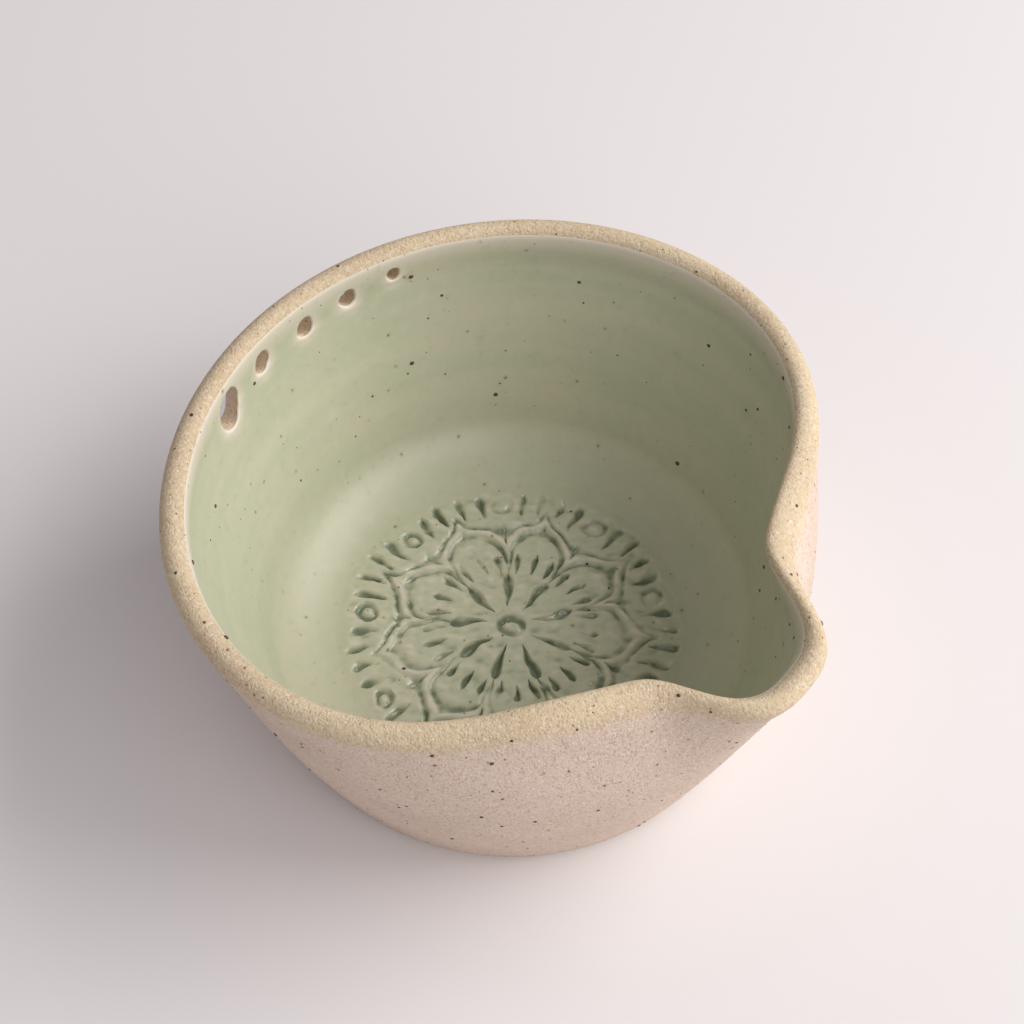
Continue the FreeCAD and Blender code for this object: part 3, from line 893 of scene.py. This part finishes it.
def iron_grain_tree():
    """Scatters flattened beads over a surface: most of them small, and a rare one large."""
    tree = bpy.data.node_groups.new("iron grains", "GeometryNodeTree")
    sockets = tree.interface
    sockets.new_socket("Geometry", in_out="INPUT", socket_type="NodeSocketGeometry")
    for name, value in (("Where", 1.0), ("Per square metre", 5000.0), ("Smallest", 0.15 * mm),
                        ("Largest", 0.62 * mm), ("Seed", 0.0)):
        socket = sockets.new_socket(name, in_out="INPUT", socket_type="NodeSocketFloat")
        socket.default_value = value
    sockets.new_socket("Finish", in_out="INPUT", socket_type="NodeSocketMaterial")
    sockets.new_socket("Geometry", in_out="OUTPUT", socket_type="NodeSocketGeometry")
    given = tree.nodes.new("NodeGroupInput").outputs
    scatter = tree.nodes.new("GeometryNodeDistributePointsOnFaces")
    tree.links.new(given["Geometry"], scatter.inputs["Mesh"])
    tree.links.new(math_of(tree, "MULTIPLY", given["Per square metre"], given["Where"]),
                   scatter.inputs["Density"])
    tree.links.new(given["Seed"], scatter.inputs["Seed"])
    bead_shape = tree.nodes.new("GeometryNodeMeshIcoSphere")
    bead_shape.inputs["Radius"].default_value = 1.0
    bead_shape.inputs["Subdivisions"].default_value = 2
    chance = tree.nodes.new("FunctionNodeRandomValue")
    tree.links.new(given["Seed"], chance.inputs["Seed"])
    rare = math_of(tree, "POWER", chance.outputs[1], 4.0)
    size = math_of(tree, "ADD", given["Smallest"], math_of(
        tree, "MULTIPLY", math_of(tree, "SUBTRACT", given["Largest"], given["Smallest"]), rare))
    shape = tree.nodes.new("ShaderNodeCombineXYZ")
    tree.links.new(size, shape.inputs[0])
    tree.links.new(math_of(tree, "MULTIPLY", size, 0.9), shape.inputs[1])
    tree.links.new(math_of(tree, "MULTIPLY", size, 0.5), shape.inputs[2])
    grains = tree.nodes.new("GeometryNodeInstanceOnPoints")
    tree.links.new(scatter.outputs["Points"], grains.inputs["Points"])
    tree.links.new(scatter.outputs["Rotation"], grains.inputs["Rotation"])
    tree.links.new(bead_shape.outputs[0], grains.inputs["Instance"])
    tree.links.new(shape.outputs[0], grains.inputs["Scale"])
    finish_tree(tree, grains.outputs[0], given["Finish"])
    return tree


def iron():
    material, tree, shader, place = new_material("melted iron grain")
    tree.links.new(mixed(tree, noise_of(tree, place, 900.0), iron_black, iron_rust),
                   shader["Base Color"])
    shader["Roughness"].default_value = grain_roughness
    return material


iron_grain_scatter, iron_finish = iron_grain_tree(), iron()


def scattered_grains(name, base, where, values):
    """Iron grains over the parts of a piece that an attribute marks, as a piece of their own."""
    piece = bpy.data.objects.new(name, base.data.copy())
    bpy.context.scene.collection.objects.link(piece)
    plain_mesh(piece, iron_grain_scatter, {"Where": where, "Finish": iron_finish, **values})
    piece.data.shade_smooth()
    return piece


clay_grains = scattered_grains("iron_grains_in_clay", clay, "bare",
                               {"Per square metre": 15000.0, "Seed": 4.0, "Largest": 0.46 * mm})
wall_grains = scattered_grains("iron_grains_in_wall_glaze", wall_glaze, "open_face",
                               {"Per square metre": 6500.0, "Seed": 11.0, "Largest": 0.55 * mm})
floor_grains = scattered_grains("iron_grains_in_floor_glaze", floor_glaze, "open_face",
                                {"Per square metre": 6500.0, "Seed": 2.0, "Largest": 0.45 * mm})

# A few grains are much larger than the rest, and lie where chance left them too.

large_in_clay = scattered_grains("large_iron_grains_in_clay", clay, "bare", {
    "Per square metre": 330.0, "Seed": 7.0, "Smallest": 0.40 * mm, "Largest": 0.72 * mm})
large_in_wall = scattered_grains("large_iron_grains_in_wall_glaze", wall_glaze, "open_face", {
    "Per square metre": 400.0, "Seed": 5.0, "Smallest": 0.36 * mm, "Largest": 0.75 * mm})

for piece in (clay_grains, wall_grains, floor_grains, large_in_clay, large_in_wall):
    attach(piece, "root")

# ---------------------------------------------------------------------------------------------
# Stage: a pale tabletop by a window, which is on the right and a little behind the bowl. A pale
# wall on the right, nearer the front, throws some of the light back.

scene = bpy.context.scene
azimuth, elevation = math.radians(41.75), math.radians(54.0)
aim = Vector((-0.0085, 0.0096, 0.030))
towards_camera = Vector((math.sin(azimuth) * math.cos(elevation),
                         -math.cos(azimuth) * math.cos(elevation), math.sin(elevation)))
camera = bpy.data.objects.new("camera", bpy.data.cameras.new("camera"))
scene.collection.objects.link(camera)
camera.location = aim + 0.4089 * towards_camera
camera.rotation_euler = towards_camera.to_track_quat("Z", "Y").to_euler()
camera.data.lens = 70.31
camera.data.sensor_width = 36.0
camera.data.clip_start = 0.01
scene.camera = camera

bpy.ops.mesh.primitive_plane_add(size=6.0)
table = bpy.context.object
table.name = "tabletop"
table_finish, _, table_shader, _ = new_material("pale tabletop")
table_shader["Base Color"].default_value = (0.82, 0.785, 0.787, 1.0)
table_shader["Roughness"].default_value = 0.6
table.data.materials.append(table_finish)


def window(name, turn, climb, distance, width, tall, power, colour):
    """An area lamp facing the bowl, at this turn and climb in degrees."""
    turn, climb = math.radians(turn), math.radians(climb)
    level = math.cos(climb)
    towards = Vector((math.cos(turn) * level, math.sin(turn) * level, math.sin(climb)))
    lamp = bpy.data.objects.new(name, bpy.data.lights.new(name, "AREA"))
    lamp.data.shape = "RECTANGLE"
    lamp.data.size, lamp.data.size_y = width, tall
    lamp.data.energy = power
    lamp.data.color = colour
    lamp.location = towards * distance
    lamp.rotation_euler = towards.to_track_quat("Z", "Y").to_euler()
    scene.collection.objects.link(lamp)


window("window", 51.0, 39.0, 1.3, 1.0, 1.0, 14.6, (1.0, 0.99, 0.97))
window("pale wall", -8.0, 38.0, 2.0, 1.6, 1.6, 13.5, (1.0, 0.985, 0.98))
world = bpy.data.worlds.new("room")
world.use_nodes = True
room_light = world.node_tree.nodes["Background"].inputs
room_light["Color"].default_value = (0.96, 0.92, 0.95, 1.0)
room_light["Strength"].default_value = 0.355
scene.world = world
scene.view_settings.view_transform = "Standard"
